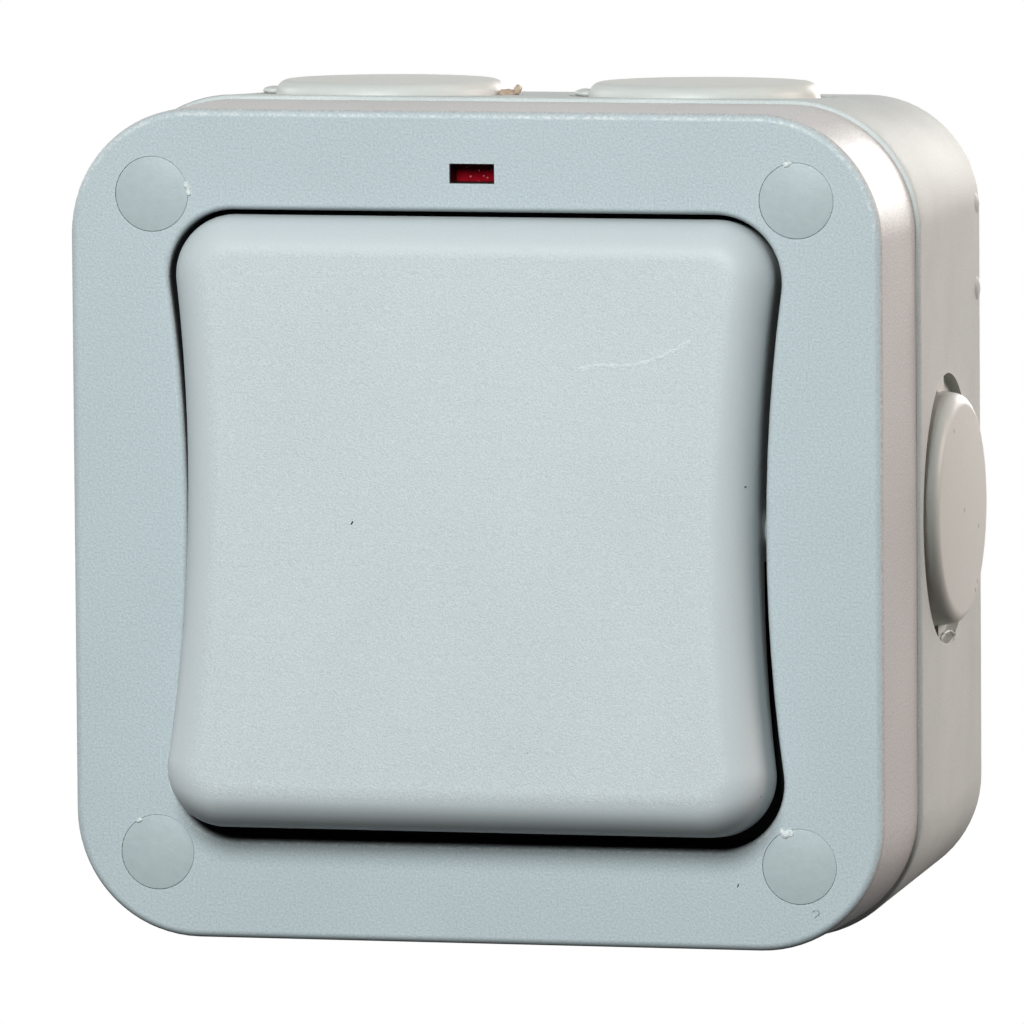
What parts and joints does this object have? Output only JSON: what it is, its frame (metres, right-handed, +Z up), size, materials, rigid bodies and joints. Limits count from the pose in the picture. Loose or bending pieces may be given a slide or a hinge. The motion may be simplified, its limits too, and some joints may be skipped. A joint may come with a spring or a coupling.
{
  "type": "outdoor weatherproof switch",
  "caption": "Square surface-mounted weatherproof switch box with a wide waisted rocker, plugged cover screws, a red neon window and round blanking plugs.",
  "frame": {"origin": "middle of the box's back face, on the wall", "axes": "+Y into the wall, so the front looks along -Y; +Z up; +X to the right seen from the front"},
  "size_m": [0.0952, 0.0636, 0.0952],
  "materials": {
    "box_plastic": "smooth moulded",
    "cover_plastic": "fine spark texture",
    "rocker_plastic": "fine spark texture",
    "cap_plastic": "smooth moulded",
    "plug_rubber": "smooth moulded",
    "seal_rubber": "smooth",
    "black_plastic": "moulded",
    "white_plastic": "moulded",
    "red_lens": "clear moulded",
    "lamp_glass": "clear",
    "brass": "turned and pressed",
    "steel": "zinc plated"
  },
  "bodies": {
    "enclosure": {"back_box": "box_plastic", "front_cover": "cover_plastic", "cover_gasket": "seal_rubber", "rocker_seal": "seal_rubber", "cover_screws": "steel", "cover_screw_inserts": "brass", "neon_lens": "red_lens", "neon_lamp": "lamp_glass", "mechanism_housing": "white_plastic", "mechanism_base": "black_plastic", "mechanism_screws": "steel", "terminal_screws": "steel", "earth_terminal": "brass", "earth_cradle": "box_plastic", "earth_screw": "steel", "blanking_plug_top_left": "plug_rubber", "blanking_plug_top_right": "plug_rubber", "blanking_plug_bottom_left": "plug_rubber", "blanking_plug_bottom_right": "plug_rubber", "blanking_plug_left": "plug_rubber", "blanking_plug_right": "plug_rubber", "screw_cap_top_left": "cap_plastic", "screw_cap_top_right": "cap_plastic", "screw_cap_bottom_left": "cap_plastic", "screw_cap_bottom_right": "cap_plastic", "supply_terminal_left": "brass", "load_terminal_left": "brass", "supply_terminal_right": "brass", "load_terminal_right": "brass"},
    "rocker": {"rocker": "rocker_plastic", "dolly": "white_plastic", "plunger_spring_left": "steel", "plunger_spring_right": "steel"},
    "plunger_left": {"plunger_left": "brass"},
    "plunger_right": {"plunger_right": "brass"},
    "moving_contact_left": {"moving_contact_left": "brass"},
    "moving_contact_right": {"moving_contact_right": "brass"}
  },
  "joints": [
    {"name": "rocker_tilt", "type": "hinge", "parent": "enclosure", "child": "rocker", "pos_m": [0, -0.0493, 0], "axis": [1, 0, 0], "range_deg": [0, 11]},
    {"name": "plunger_slide_left", "type": "slide", "parent": "rocker", "child": "plunger_left", "axis": [0, -0.9954, 0.0958], "range_m": [0, 0.001], "stiffness_N_per_m": 400, "springref_m": -0.002, "deforming": ["plunger_spring_left"]},
    {"name": "contact_tilt_left", "type": "hinge", "parent": "enclosure", "child": "moving_contact_left", "pos_m": [-0.0055, -0.0322, 0], "axis": [1, 0, 0], "range_deg": [-14.4, 0]},
    {"name": "plunger_slide_right", "type": "slide", "parent": "rocker", "child": "plunger_right", "axis": [0, -0.9954, 0.0958], "range_m": [0, 0.001], "stiffness_N_per_m": 400, "springref_m": -0.002, "deforming": ["plunger_spring_right"]},
    {"name": "contact_tilt_right", "type": "hinge", "parent": "enclosure", "child": "moving_contact_right", "pos_m": [0.0055, -0.0322, 0], "axis": [1, 0, 0], "range_deg": [-14.4, 0]}
  ],
  "couplings": [
    {"joint": "contact_tilt_left", "follows": "rocker_tilt", "ratio": -1.27},
    {"joint": "contact_tilt_right", "follows": "rocker_tilt", "ratio": -1.27}
  ]
}
